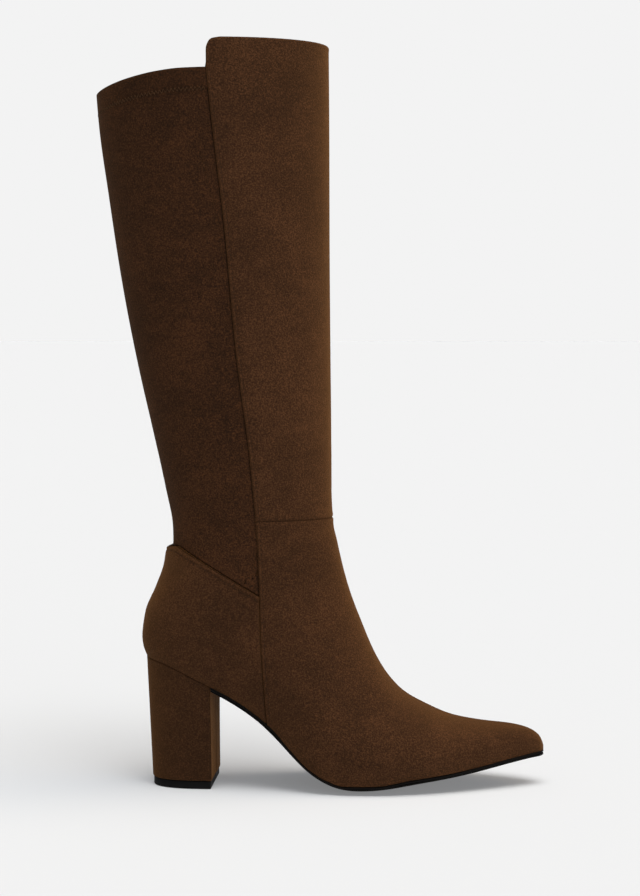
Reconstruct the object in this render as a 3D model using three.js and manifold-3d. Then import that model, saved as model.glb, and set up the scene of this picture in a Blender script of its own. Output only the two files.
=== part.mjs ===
// Knee-high boot on a block heel, for the right foot, standing empty on its sole.
// Millimetres: +X runs to the toe, -Y to the outer (lateral) side, +Z up. The origin is on the floor,
// under the middle of the boot's whole length and width.

import * as THREE from "three";
import { mergeVertices } from "three/addons/utils/BufferGeometryUtils.js";
import Module from "manifold-3d";

const wasm = await Module();
wasm.setup();

// Driving sizes of the last and the shaft
const TOE_TIP_X = 131.3;
const HEEL_BULGE_X = -104.4;
const FOOT_LENGTH = TOE_TIP_X - HEEL_BULGE_X;
const BALL_WIDTH = 83;
const INSTEP_HEIGHT = 157;
const HEEL_HEIGHT = 75.4;
const BOOT_HEIGHT = 430;
const CALF_DEPTH = 138;
const CALF_WIDTH = 104;

// Driving sizes of the walls and the parts under the foot
const GAP = 0.3;
const PANEL = 1.1;
const BODY_WALL = 1.6;
const CUFF = 0.6;
const COUNTER_PROUD = 0.8;
const OUTSOLE = 2.0;
const SOLE_EDGE = 0.5;
const INSOLE = 2.0;
const INSOLE_INSET = BODY_WALL + PANEL + 3 * GAP;
const LIFT_HEIGHT = 4.6;
const LIFT_INSET = 0.6;
const BREAST_X = -62;
const SEAT_ROUNDNESS = 2.2;
const TREAD_FLAT = 0.3;
const BODY_OUTSIDE = -(PANEL + GAP);
const BODY_INSIDE = BODY_OUTSIDE - BODY_WALL;

// A table with named columns
const named = (columns, row) => Object.fromEntries(row.map((value, i) => [columns[i], value]));
const table = (columns, rows) => rows.map((row) => named(columns, row));

// The sole along its length, from the heel to the toe. along is a share of FOOT_LENGTH, lateral and medial
// are the outline's reach to either side as shares of half BALL_WIDTH, edge is the height of the feather
// edge where upper and sole meet, and tread is the height of the sole's underside along its middle, both as
// shares of HEEL_HEIGHT.
const SOLE_ROWS = table(["along", "lateral", "medial", "edge", "tread"], [
  [0.01, 0.675, 0.675, 1.0, 0.97],
  [0.061, 0.675, 0.675, 0.967, 0.936],
  [0.116, 0.675, 0.675, 0.897, 0.866],
  [0.18, 0.675, 0.675, 0.8, 0.769],
  [0.235, 0.68, 0.641, 0.711, 0.68],
  [0.284, 0.694, 0.627, 0.61, 0.576],
  [0.333, 0.728, 0.648, 0.485, 0.446],
  [0.379, 0.781, 0.699, 0.326, 0.28],
  [0.426, 0.834, 0.771, 0.183, 0.127],
  [0.468, 0.882, 0.834, 0.109, 0.041],
  [0.511, 0.906, 0.877, 0.069, 0],
  [0.587, 0.913, 0.928, 0.072, 0],
  [0.672, 0.841, 0.923, 0.114, 0.049],
  [0.761, 0.68, 0.858, 0.147, 0.086],
  [0.846, 0.463, 0.723, 0.19, 0.137],
  [0.918, 0.246, 0.549, 0.232, 0.187],
  [0.969, 0.072, 0.371, 0.256, 0.219],
  [0.992, -0.036, 0.258, 0.264, 0.232],
  [1.0, -0.145, 0.145, 0.267, 0.236],
]);

// Sections of the foot, from the toe back to the heel. Each is a slice from the sole's edge over the top
// line: seat and ridge are the x of its two ends as shares of FOOT_LENGTH, height is the top line's share of
// INSTEP_HEIGHT, lateral and medial are shares of half BALL_WIDTH, widest is how far up the slice it is
// widest, and round is the exponent of its curve, 2 for an ellipse.
const FOOT_COLUMNS = ["place", "seat", "ridge", "height", "lateral", "medial", "widest", "round"];
const FOOT_ROWS = table(FOOT_COLUMNS, [
  ["toe tip", 1.0, 1.0, 0.144, -0.145, 0.145, 0.5, 2],
  ["toe end", 0.992, 0.993, 0.173, -0.025, 0.275, 0.5, 2.1],
  ["toe", 0.969, 0.969, 0.203, 0.09, 0.39, 0.47, 2.2],
  ["toe box", 0.918, 0.921, 0.221, 0.28, 0.58, 0.44, 2.3],
  ["toe root", 0.846, 0.852, 0.23, 0.51, 0.77, 0.4, 2.3],
  ["little toe", 0.761, 0.776, 0.251, 0.745, 0.91, 0.36, 2.2],
  ["ball", 0.672, 0.705, 0.298, 0.915, 0.995, 0.33, 2.1],
  ["tread front", 0.587, 0.65, 0.349, 0.995, 1.005, 0.32, 2],
  ["tread back", 0.511, 0.612, 0.412, 1.0, 0.965, 0.32, 1.95],
  ["waist", 0.426, 0.579, 0.495, 0.96, 0.91, 0.33, 1.9],
  ["arch", 0.333, 0.547, 0.608, 0.9, 0.855, 0.36, 1.9],
  ["instep", 0.235, 0.516, 0.73, 0.848, 0.822, 0.4, 1.95],
  ["heel front", 0.142, 0.496, 0.84, 0.82, 0.81, 0.43, 2],
  ["heel side", 0.07, 0.485, 0.915, 0.82, 0.815, 0.45, 2.05],
  ["heel curve", 0.027, 0.478, 0.957, 0.824, 0.82, 0.47, 2.1],
  ["heel end", 0.0145, 0.476, 0.978, 0.828, 0.826, 0.49, 2.1],
]);

// Sections of the leg are closed rings. back and front are shares of CALF_DEPTH behind the collar's front,
// the heights are shares of BOOT_HEIGHT, and half is a share of half CALF_WIDTH.
const COLLAR_FRONT_X = 4.5;
const LEG_ROUND = 2.1;
const LEG_ROWS = table(["place", "back", "backHeight", "front", "frontHeight", "half"], [
  ["heel back", 0.772, HEEL_HEIGHT / BOOT_HEIGHT, -0.022, 0.365, 0.665],
  ["heel bulge", 0.789, 0.201, -0.018, 0.38, 0.672],
  ["heel grip", 0.775, 0.235, -0.015, 0.397, 0.68],
  ["counter", 0.728, 0.271, -0.014, 0.417, 0.69],
  ["counter top", 0.688, 0.307, -0.013, 0.44, 0.704],
  ["ankle", 0.667, 0.347, -0.012, 0.467, 0.727],
  ["low leg", 0.702, 0.409, -0.011, 0.512, 0.756],
  ["calf foot", 0.76, 0.491, -0.009, 0.567, 0.793],
  ["low calf", 0.824, 0.584, -0.007, 0.637, 0.843],
  ["calf", 0.885, 0.688, -0.005, 0.719, 0.893],
  ["high calf", 0.936, 0.798, -0.004, 0.812, 0.946],
  ["under collar", 0.978, 0.898, -0.003, 0.902, 0.971],
  ["over collar", 1.003, 1.016, 0, 1.016, 1.0],
]);

// The side seam, where the front panels lap over the back ones, and the counter's slanted top line
const SIDE_SEAM = [
  { x: -28.5, z: 30 },
  { x: -32.1, z: 87 },
  { x: -33.8, z: 140 },
  { x: -37.7, z: 191 },
  { x: -45.1, z: 252 },
  { x: -51.3, z: 325 },
  { x: -58.0, z: 384 },
  { x: -61.0, z: 413 },
];
const COUNTER_LINE = [
  { x: -33.1, z: 113.5 },
  { x: -77.5, z: 139 },
  { x: -83.5, z: 141.3 },
  { x: -88.0, z: 140.3 },
  { x: -120.0, z: 136 },
];
const ANKLE_SEAM_Z = INSTEP_HEIGHT;
const COLLAR_BACK = [
  { x: -145, z: 398.8 },
  { x: -130, z: 402.3 },
  { x: -105.6, z: 407.6 },
  { x: -85, z: 412 },
];
const CUFF_DEPTH = 12;
const OUTSIDE = 150;

// The front panel's free rear corner, rounded, as steps forward from the side seam and down from the collar.
// The body behind it stays within it.
const PANEL_CORNER = table(["ahead", "down"], [
  [0, 7],
  [0.8, 3],
  [3.4, 0.8],
  [8, 0],
]);
const BODY_CORNER = table(["ahead", "down"], [
  [1, 6],
  [4, 1],
]);
const BODY_TOP_Z = BOOT_HEIGHT - BODY_CORNER[1].down;

// Interpolation without overshoot: y at x, through points that x puts in order
function smooth(xs, ys, x) {
  const last = xs.length - 1;
  const slopes = xs.slice(1).map((next, i) => (ys[i + 1] - ys[i]) / (next - xs[i]));
  const tangents = ys.map((_, i) => {
    if (i === 0) return slopes[0];
    if (i === last) return slopes[last - 1];
    const product = slopes[i - 1] * slopes[i];
    return product <= 0 ? 0 : (2 * product) / (slopes[i - 1] + slopes[i]);
  });
  let i = 0;
  while (i < last - 1 && x > xs[i + 1]) i += 1;
  const span = xs[i + 1] - xs[i];
  const t = THREE.MathUtils.clamp((x - xs[i]) / span, 0, 1);
  const rise = ys[i] * (1 + 2 * t) * (1 - t) ** 2 + ys[i + 1] * t * t * (3 - 2 * t);
  return rise + span * (tangents[i] * t * (1 - t) ** 2 + tangents[i + 1] * t * t * (t - 1));
}

const alongFoot = (share) => HEEL_BULGE_X + share * FOOT_LENGTH;
const soleX = SOLE_ROWS.map((row) => alongFoot(row.along));
const SOLE_UNIT = {
  lateral: BALL_WIDTH / 2,
  medial: BALL_WIDTH / 2,
  edge: HEEL_HEIGHT,
  tread: HEEL_HEIGHT,
};
const soleAt = (key, x) => smooth(soleX, SOLE_ROWS.map((row) => row[key] * SOLE_UNIT[key]), x);

// The heel seat's outline is a rounded D behind the breast line
function seatShare(x, back) {
  const share = Math.min(1, Math.max(0, (BREAST_X - x) / (BREAST_X - back)));
  return (1 - share ** SEAT_ROUNDNESS) ** (1 / SEAT_ROUNDNESS);
}

const SEAT_BACK_X = soleX[0];
function soleOutline(x) {
  const share = x < BREAST_X ? seatShare(x, SEAT_BACK_X) : 1;
  return { lateral: soleAt("lateral", x) * share, medial: soleAt("medial", x) * share };
}

// Height of the surface that the upper stands on: level in the middle, then rising to the feather edge
function seatHeight(x, y) {
  const { lateral, medial } = soleOutline(x);
  const middle = (medial - lateral) / 2;
  const half = Math.max((medial + lateral) / 2, 0.01);
  const rise = Math.min(1, Math.max(0, Math.abs(y - middle) / half - TREAD_FLAT) / (1 - TREAD_FLAT));
  return THREE.MathUtils.lerp(soleAt("tread", x) + OUTSOLE + GAP, soleAt("edge", x), rise * rise);
}

// Sections in millimetres, from the toe tip to above the collar
const footSections = FOOT_ROWS.map((row) => ({
  seatX: alongFoot(row.seat),
  seatZ: soleAt("edge", alongFoot(row.seat)),
  ridgeX: alongFoot(row.ridge),
  ridgeZ: row.height * INSTEP_HEIGHT,
  lateral: (row.lateral * BALL_WIDTH) / 2,
  medial: (row.medial * BALL_WIDTH) / 2,
  widest: row.widest,
  round: row.round,
}));
const legSections = LEG_ROWS.map((row) => ({
  seatX: COLLAR_FRONT_X - row.back * CALF_DEPTH,
  seatZ: row.backHeight * BOOT_HEIGHT,
  ridgeX: COLLAR_FRONT_X - row.front * CALF_DEPTH,
  ridgeZ: row.frontHeight * BOOT_HEIGHT,
  lateral: (row.half * CALF_WIDTH) / 2,
  medial: (row.half * CALF_WIDTH) / 2,
  widest: 0.5,
  round: LEG_ROUND,
}));
const tableSections = [...footSections, ...legSections];
const HEEL_BACK_ROW = footSections.length;
const MOST_FOOT_STEP = 15;
const MOST_LEG_STEP = 29;
const RINGS_ROUND_HEEL = 4;

// Section at a place between the table's rows, with the sole's outline as its lower edge while it is open
function sectionAt(place) {
  const rows = tableSections.map((_, i) => i);
  const read = (key) => smooth(rows, tableSections.map((section) => section[key]), place);
  const section = {};
  for (const key of Object.keys(tableSections[0])) section[key] = read(key);
  section.open = place < HEEL_BACK_ROW;
  const edge = section.open ? soleOutline(section.seatX) : { lateral: 0, medial: 0 };
  section.seatLateral = edge.lateral;
  section.seatMedial = edge.medial;
  if (section.open) section.seatZ = soleAt("edge", section.seatX);
  return section;
}

// Places of all sections: each table row, and as many between two of them as their distance asks for
const places = [0];
for (let row = 1; row < tableSections.length; row += 1) {
  const from = tableSections[row - 1];
  const to = tableSections[row];
  const seatStep = Math.hypot(to.seatX - from.seatX, to.seatZ - from.seatZ);
  const ridgeStep = Math.hypot(to.ridgeX - from.ridgeX, to.ridgeZ - from.ridgeZ);
  const most = row > HEEL_BACK_ROW + RINGS_ROUND_HEEL ? MOST_LEG_STEP : MOST_FOOT_STEP;
  const steps = Math.ceil(Math.max(seatStep, ridgeStep) / most);
  for (let step = 1; step <= steps; step += 1) places.push(row - 1 + step / steps);
}
const sections = places.map(sectionAt);
const HEEL_RING = sections.findIndex((section) => !section.open);

// One side of a section, from the sole's edge or the back line to the top line, in steps that are shorter
// where it bends: a radian of bend counts as much as BEND_WORTH millimetres. A section with less than
// LEAST_HALF to either side is a point.
const SIDE_STEPS = 11;
const FINE_STEPS = 24;
const BEND_WORTH = 25;
const LEAST_HALF = 0.1;
function halfSection(section, side) {
  const { lateral, medial, widest, round } = section;
  const middle = (medial - lateral) / 2;
  const half = (medial + lateral) / 2;
  const reach = side > 0 ? section.seatMedial - middle : section.seatLateral + middle;
  const share = half > LEAST_HALF ? THREE.MathUtils.clamp(reach / half, 0, 0.999) : 0;
  const start = Math.acos(share ** (round / 2));
  const startSine = Math.max(Math.sin(start) ** (2 / round), 1e-6);
  const fine = [];
  for (let i = 0; i <= 2 * FINE_STEPS; i += 1) {
    const lower = i < FINE_STEPS;
    const angle = lower ? start * (1 - i / FINE_STEPS) : ((i / FINE_STEPS - 1) * Math.PI) / 2;
    const sine = Math.max(Math.sin(angle), 0) ** (2 / round);
    const up = lower ? widest * (1 - sine / startSine) : widest + (1 - widest) * sine;
    const out = half * Math.max(Math.cos(angle), 0) ** (2 / round);
    fine.push(
      new THREE.Vector3(
        THREE.MathUtils.lerp(section.seatX, section.ridgeX, up),
        middle + side * out,
        THREE.MathUtils.lerp(section.seatZ, section.ridgeZ, up),
      ),
    );
  }
  const steps = fine.slice(1).map((point, i) => point.clone().sub(fine[i]));
  const lengths = [0];
  for (let i = 0; i < steps.length; i += 1) {
    const bend = i > 0 && half > LEAST_HALF ? steps[i].angleTo(steps[i - 1]) : 0;
    lengths.push(lengths[i] + steps[i].length() + BEND_WORTH * bend);
  }
  const whole = lengths[lengths.length - 1];
  const points = [];
  let k = 1;
  for (let step = 0; step <= SIDE_STEPS; step += 1) {
    const along = (whole * step) / SIDE_STEPS;
    while (k < fine.length - 1 && lengths[k] < along) k += 1;
    const part = (along - lengths[k - 1]) / Math.max(lengths[k] - lengths[k - 1], 1e-9);
    points.push(fine[k - 1].clone().lerp(fine[k], THREE.MathUtils.clamp(part, 0, 1)));
  }
  return points;
}

// The whole form as a grid: each section's points run from the lateral edge over the top line to the medial
const form = sections.map((section) => {
  const lateral = halfSection(section, -1);
  const medial = halfSection(section, 1).reverse().slice(1);
  return [...lateral, ...medial];
});
const COLUMNS = form[0].length;
const LAST_COLUMN = COLUMNS - 1;

// Two triangles for each cell of a grid, the medial half a mirror image of the lateral one, and turned over
// where the face looks the other way
const LATERAL_CELL = (a, b, d, e) => [[a, b, e], [a, e, d]];
const MEDIAL_CELL = (a, b, d, e) => [[a, b, d], [b, e, d]];
function gridTriangles(rowCount, columnCount, start, turned) {
  const triangles = [];
  for (let r = 0; r + 1 < rowCount; r += 1) {
    for (let c = 0; c + 1 < columnCount; c += 1) {
      const a = start + r * columnCount + c;
      const b = a + 1;
      const d = a + columnCount;
      const e = d + 1;
      const cell = (2 * c + 1 < columnCount - 1 ? LATERAL_CELL : MEDIAL_CELL)(a, b, d, e);
      triangles.push(...(turned ? cell.map(([i, j, k]) => [i, k, j]) : cell));
    }
  }
  return triangles;
}

// Points that lie on each other, at the toe tip and along the back line, share one normal
const pointKey = (point) => point.toArray().map((value) => Math.round(value * 100)).join();
function formNormals() {
  const points = form.flat();
  const sums = new Map(points.map((point) => [pointKey(point), new THREE.Vector3()]));
  for (const triangle of gridTriangles(form.length, COLUMNS, 0, false)) {
    const [a, b, c] = triangle.map((i) => points[i]);
    const normal = new THREE.Vector3().subVectors(b, a).cross(new THREE.Vector3().subVectors(c, a));
    for (const point of [a, b, c]) sums.get(pointKey(point)).add(normal);
  }
  return form.map((row) => row.map((point) => sums.get(pointKey(point)).clone().normalize()));
}
const normals = formNormals();

// The form grown or shrunk by an offset. Its lower edge stays on the seat.
function offsetForm(offset) {
  return form.map((row, r) =>
    row.map((point, c) => {
      const onSeat = r <= HEEL_RING && (c === 0 || c === LAST_COLUMN);
      const normal = normals[r][c].clone();
      if (onSeat) normal.setZ(0).normalize();
      const moved = point.clone().addScaledVector(normal, offset);
      if (onSeat) moved.z = seatHeight(moved.x, moved.y);
      return moved;
    }),
  );
}

// Closed triangle meshes, and their way into and out of the solid library
function meshOf(points, triangles) {
  const geometry = new THREE.BufferGeometry();
  const numbers = new Float32Array(points.flatMap((point) => point.toArray()));
  geometry.setAttribute("position", new THREE.BufferAttribute(numbers, 3));
  geometry.setIndex(triangles.flat());
  return geometry;
}

function toSolid(geometry) {
  geometry.deleteAttribute("normal");
  geometry.deleteAttribute("uv");
  const merged = mergeVertices(geometry, 1e-3);
  const kept = [];
  const index = merged.index.array;
  for (let i = 0; i < index.length; i += 3) {
    const [a, b, c] = [index[i], index[i + 1], index[i + 2]];
    if (a !== b && b !== c && c !== a) kept.push(a, b, c);
  }
  return new wasm.Manifold(
    new wasm.Mesh({
      numProp: 3,
      vertProperties: new Float32Array(merged.attributes.position.array),
      triVerts: new Uint32Array(kept),
    }),
  );
}

function toGeometry(solid) {
  const mesh = solid.getMesh();
  const stride = mesh.numProp;
  const positions = [];
  for (let i = 0; i < mesh.vertProperties.length; i += stride) {
    positions.push(...mesh.vertProperties.slice(i, i + 3));
  }
  const geometry = new THREE.BufferGeometry();
  geometry.setAttribute("position", new THREE.BufferAttribute(new Float32Array(positions), 3));
  geometry.setIndex([...mesh.triVerts]);
  geometry.computeVertexNormals();
  return geometry;
}

// A wall between two offsets of the form, open at the collar and along the sole
function wall(outside, inside) {
  const outer = offsetForm(outside);
  const inner = offsetForm(inside);
  const points = [...outer.flat(), ...inner.flat()];
  const size = outer.length * COLUMNS;
  const triangles = [
    ...gridTriangles(outer.length, COLUMNS, 0, false),
    ...gridTriangles(outer.length, COLUMNS, size, true),
  ];
  for (let r = 0; r < HEEL_RING; r += 1) {
    const lateral = r * COLUMNS;
    const medial = lateral + LAST_COLUMN;
    triangles.push([lateral, lateral + COLUMNS, size + lateral + COLUMNS]);
    triangles.push([lateral, size + lateral + COLUMNS, size + lateral]);
    triangles.push([medial, size + medial + COLUMNS, medial + COLUMNS]);
    triangles.push([medial, size + medial, size + medial + COLUMNS]);
  }
  const top = (outer.length - 1) * COLUMNS;
  for (let c = 0; c < LAST_COLUMN; c += 1) {
    triangles.push([top + c, top + c + 1, size + top + c + 1]);
    triangles.push([top + c, size + top + c + 1, size + top + c]);
  }
  return toSolid(meshOf(points, triangles));
}

// A prism right across the boot, from its outline as seen from the side
function acrossPrism(outline) {
  const shape = new THREE.Shape(outline.map(({ x, z }) => new THREE.Vector2(x, z)));
  const geometry = new THREE.ExtrudeGeometry(shape, { depth: 2 * OUTSIDE, bevelEnabled: false });
  geometry.translate(0, 0, -OUTSIDE);
  geometry.rotateX(Math.PI / 2);
  return toSolid(geometry);
}

const shifted = (line, dx, dz) => line.map(({ x, z }) => ({ x: x + dx, z: z + dz }));
const sideSeamX = (z) => smooth(SIDE_SEAM.map((p) => p.z), SIDE_SEAM.map((p) => p.x), z);
const seamBetween = (from, to) => [
  { x: sideSeamX(from), z: from },
  ...SIDE_SEAM.filter(({ z }) => z > from && z < to),
  { x: sideSeamX(to), z: to },
];

const finish = (name, color, roughness) =>
  new THREE.MeshStandardMaterial({ name, color, roughness, metalness: 0 });
const suede = finish("suede", 0x3a2416, 0.92);
const stretch = finish("stretch", 0x33200f, 0.95);
const board = finish("board", 0x1e1712, 0.9);
const rubber = finish("rubber", 0x14110f, 0.6);

const boot = new THREE.Group();
function addPiece(name, solid, material) {
  const mesh = new THREE.Mesh(toGeometry(solid), material);
  mesh.name = name;
  boot.add(mesh);
}

// The upper end of the side seam, and a rounded corner above it
const seamTop = SIDE_SEAM[SIDE_SEAM.length - 1];
const cornerAbove = (rows) => rows.map(({ ahead, down }) => ({ x: seamTop.x + ahead, z: BOOT_HEIGHT - down }));

// A line moved to its left by a distance, its corners kept sharp
function beside(line, distance) {
  const lefts = line
    .slice(1)
    .map(({ x, z }, i) => new THREE.Vector2(line[i].z - z, x - line[i].x).normalize());
  return line.map(({ x, z }, i) => {
    const before = lefts[Math.max(i - 1, 0)];
    const after = lefts[Math.min(i, lefts.length - 1)];
    const step = before.clone().add(after).multiplyScalar(distance / (1 + before.dot(after)));
    return { x: x + step.x, z: z + step.y };
  });
}

// The line where the bodies of foot and leg are sewn together, from the front to the back, under the seams of
// the outer panels: the ankle seam, down the side seams, and the counter's top line
const BODY_JOIN = [
  { x: OUTSIDE, z: ANKLE_SEAM_Z },
  ...seamBetween(COUNTER_LINE[0].z, ANKLE_SEAM_Z).reverse(),
  ...COUNTER_LINE.slice(1),
];

// Upper: the body of the foot, lining and backing, from the sole to the ankle
function makeUpper() {
  const join = beside(BODY_JOIN, GAP / 2);
  const outline = [...join, { x: join[join.length - 1].x, z: -OUTSIDE }, { x: OUTSIDE, z: -OUTSIDE }];
  return wall(BODY_OUTSIDE, BODY_INSIDE).intersect(acrossPrism(outline));
}

// Leg: the body of the leg with the stretch back, from the ankle to the collar. The collar is low round the
// back and stands up behind the front panel.
function makeLeg() {
  const outline = [
    ...COLLAR_BACK,
    seamTop,
    ...cornerAbove(BODY_CORNER),
    { x: OUTSIDE, z: BODY_TOP_Z },
    ...beside(BODY_JOIN, -GAP / 2),
  ];
  return wall(BODY_OUTSIDE, BODY_INSIDE).intersect(acrossPrism(outline));
}

// Front leg panel: from the ankle seam to the collar, its free rear corner rounded
function makeShaftFront() {
  const outline = [
    ...seamBetween(ANKLE_SEAM_Z + GAP / 2, seamTop.z),
    ...cornerAbove(PANEL_CORNER),
    { x: OUTSIDE, z: BOOT_HEIGHT },
    { x: OUTSIDE, z: ANKLE_SEAM_Z + GAP / 2 },
  ];
  return wall(0, -PANEL).intersect(acrossPrism(outline));
}

// Vamp: all of the foot in front of the side seams and under the ankle seam
function makeVamp() {
  const seam = shifted(seamBetween(SIDE_SEAM[0].z, ANKLE_SEAM_Z - GAP / 2), GAP / 2, 0);
  const outline = [
    ...seam,
    { x: OUTSIDE, z: ANKLE_SEAM_Z - GAP / 2 },
    { x: OUTSIDE, z: -OUTSIDE },
    { x: SIDE_SEAM[0].x + GAP / 2, z: -OUTSIDE },
  ];
  return wall(0, -PANEL).intersect(acrossPrism(outline));
}

// Counter: the stiffened heel quarter, a little prouder than the other panels
function makeCounter() {
  const seam = shifted(seamBetween(SIDE_SEAM[0].z, COUNTER_LINE[0].z), -GAP / 2, 0);
  const outline = [
    ...seam,
    ...COUNTER_LINE.slice(1),
    { x: COUNTER_LINE[COUNTER_LINE.length - 1].x, z: -OUTSIDE },
    { x: SIDE_SEAM[0].x - GAP / 2, z: -OUTSIDE },
  ];
  return wall(COUNTER_PROUD, -PANEL).intersect(acrossPrism(outline));
}

// Back cuff: the elastic hem that runs round the back from one side seam to the other
function makeBackCuff() {
  const top = [...COLLAR_BACK, { x: seamTop.x - GAP, z: seamTop.z }];
  const outline = [...top, ...shifted(top, 0, -CUFF_DEPTH).reverse()];
  return wall(-PANEL + CUFF, -PANEL).intersect(acrossPrism(outline));
}

// A slab that follows the seat, with a row of points across it at each place along the sole
const ACROSS = [-1, -0.65, -TREAD_FLAT, TREAD_FLAT, 0.65, 1];
function seatSlab(alongX, outlineX, topAbove, bottomAbove, spread) {
  const layer = (above) =>
    alongX.flatMap((x) => {
      const { lateral, medial } = soleOutline(outlineX(x));
      const middle = (medial - lateral) / 2;
      const half = Math.max((medial + lateral) / 2 + spread, 0);
      return ACROSS.map((share) => {
        const y = middle + share * half;
        return new THREE.Vector3(x, y, seatHeight(x, y) + above);
      });
    });
  const points = [...layer(topAbove), ...layer(bottomAbove)];
  const columns = ACROSS.length;
  const size = alongX.length * columns;
  const triangles = [
    ...gridTriangles(alongX.length, columns, 0, false),
    ...gridTriangles(alongX.length, columns, size, true),
  ];
  const side = (from, to) => triangles.push([from, to, size + to], [from, size + to, size + from]);
  for (let r = 0; r + 1 < alongX.length; r += 1) {
    const left = r * columns;
    const right = left + columns - 1;
    side(left, left + columns);
    side(right + columns, right);
  }
  const end = (alongX.length - 1) * columns;
  for (let c = 0; c + 1 < columns; c += 1) {
    side(c + 1, c);
    side(end + c, end + c + 1);
  }
  return toSolid(meshOf(points, triangles));
}

const seatXs = sections.slice(0, HEEL_RING + 1).map((section) => section.seatX);

// Outsole: from the heel breast to the toe, level with the floor under the tread
function makeOutsole() {
  const along = [...seatXs.filter((x) => x > BREAST_X + 2), BREAST_X + GAP];
  return seatSlab(along, (x) => x, -GAP, -GAP - OUTSOLE, SOLE_EDGE);
}

// Insole: covers the floor of the foot inside the upper's wall, in the same outline drawn in from all sides
function makeInsole() {
  const back = SEAT_BACK_X + INSOLE_INSET;
  const front = TOE_TIP_X - 2 * INSOLE_INSET;
  const outlineX = (x) => THREE.MathUtils.mapLinear(x, back, front, SEAT_BACK_X, TOE_TIP_X);
  const along = [front, ...seatXs.filter((x) => x > back + 1 && x < front - 1), back];
  return seatSlab(along, outlineX, INSOLE, GAP / 2, -INSOLE_INSET);
}

// A stack of D-shaped rings, flat at the breast, with a height for each ring at each point
const D_STEPS = 11;
function heelRing(back, breast, half, heightAt) {
  const points = [];
  for (let i = 0; i <= 2 * D_STEPS; i += 1) {
    const angle = ((i / D_STEPS - 1) * Math.PI) / 2;
    const share = Math.cos(angle) ** (2 / SEAT_ROUNDNESS);
    const x = breast - (breast - back) * share;
    const y = half * Math.sign(angle) * Math.abs(Math.sin(angle)) ** (2 / SEAT_ROUNDNESS);
    points.push(new THREE.Vector3(x, y, heightAt(x, y)));
  }
  return points;
}

function stackOf(rings) {
  const count = rings[0].length;
  const points = rings.flat();
  const triangles = [];
  for (let r = 0; r + 1 < rings.length; r += 1) {
    for (let c = 0; c < count; c += 1) {
      const a = r * count + c;
      const b = r * count + ((c + 1) % count);
      triangles.push([a, b + count, b], [a, a + count, b + count]);
    }
  }
  const top = (rings.length - 1) * count;
  for (let c = 0; c + 1 < count / 2; c += 1) {
    const far = count - 1 - c;
    const cap = [[c, c + 1, far]];
    if (far - 1 > c + 1) cap.push([c + 1, far - 1, far]);
    triangles.push(...cap);
    triangles.push(...cap.map(([i, j, k]) => [top + i, top + k, top + j]));
  }
  return toSolid(meshOf(points, triangles));
}

// Heel: a wrapped block whose sides run from the seat's outline in to the lift
const HEEL_FOOT = { back: -98.4, breast: -61.5, half: 24.5 };
const HEEL_LEVELS = 5;
function makeHeel() {
  const bottom = LIFT_HEIGHT + GAP;
  const rings = [];
  for (let level = 0; level <= HEEL_LEVELS; level += 1) {
    const share = level / HEEL_LEVELS;
    const back = THREE.MathUtils.lerp(HEEL_FOOT.back, SEAT_BACK_X, share);
    const breast = THREE.MathUtils.lerp(HEEL_FOOT.breast, BREAST_X, share);
    const half = THREE.MathUtils.lerp(HEEL_FOOT.half, soleAt("lateral", BREAST_X) - GAP, share * share);
    const heightAt = (x, y) => THREE.MathUtils.lerp(bottom, seatHeight(x, y) - GAP, share);
    rings.push(heelRing(back, breast, half, heightAt));
  }
  return stackOf(rings);
}

// Heel lift: the flat rubber piece that the heel stands on
function makeHeelLift() {
  const ring = (z) =>
    heelRing(
      HEEL_FOOT.back + LIFT_INSET,
      HEEL_FOOT.breast - LIFT_INSET,
      HEEL_FOOT.half - LIFT_INSET,
      () => z,
    );
  return stackOf([ring(0), ring(LIFT_HEIGHT)]);
}

addPiece("upper", makeUpper(), board);
addPiece("leg", makeLeg(), stretch);
addPiece("vamp", makeVamp(), suede);
addPiece("counter", makeCounter(), suede);
addPiece("shaft_front", makeShaftFront(), suede);
addPiece("back_cuff", makeBackCuff(), stretch);
addPiece("insole", makeInsole(), board);
addPiece("outsole", makeOutsole(), rubber);
addPiece("heel", makeHeel(), suede);
addPiece("heel_lift", makeHeelLift(), rubber);

export default boot;
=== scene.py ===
import math

import bmesh
import bpy
import numpy as np
from mathutils.kdtree import KDTree
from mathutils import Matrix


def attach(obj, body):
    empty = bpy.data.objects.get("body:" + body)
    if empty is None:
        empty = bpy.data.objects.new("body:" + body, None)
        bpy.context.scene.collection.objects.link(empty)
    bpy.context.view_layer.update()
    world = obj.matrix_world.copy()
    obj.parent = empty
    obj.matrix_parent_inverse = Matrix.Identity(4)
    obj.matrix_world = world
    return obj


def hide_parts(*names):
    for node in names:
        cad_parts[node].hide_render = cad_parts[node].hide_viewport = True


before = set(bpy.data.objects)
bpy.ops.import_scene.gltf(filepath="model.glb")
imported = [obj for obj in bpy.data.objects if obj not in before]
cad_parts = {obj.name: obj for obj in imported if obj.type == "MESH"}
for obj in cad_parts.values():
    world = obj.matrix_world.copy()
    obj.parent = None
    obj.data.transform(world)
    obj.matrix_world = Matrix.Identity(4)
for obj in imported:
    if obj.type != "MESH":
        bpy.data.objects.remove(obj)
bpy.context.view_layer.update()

# Knee-high boot for the right foot, standing empty on its sole. All sizes here are in millimetres, and
# make_mesh turns them into metres. +X runs to the toe, -Y to the outer (lateral) side, +Z up.


# Insole and sock
# The insole board closes the upper from below, and a thin fabric sock is glued over it. It is cut to the
# sole's outline, drawn in by the thickness of the upper's wall.

TOE_TIP_X = 131.3
HEEL_BULGE_X = -104.4
FOOT_LENGTH = TOE_TIP_X - HEEL_BULGE_X
BALL_WIDTH = 83
HEEL_HEIGHT = 75.4
BREAST_X = -62
OUTSOLE = 2.0
GAP = 0.3
SEAT_ROUNDNESS = 2.2
TREAD_FLAT = 0.3
WALL = 4.0

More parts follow.
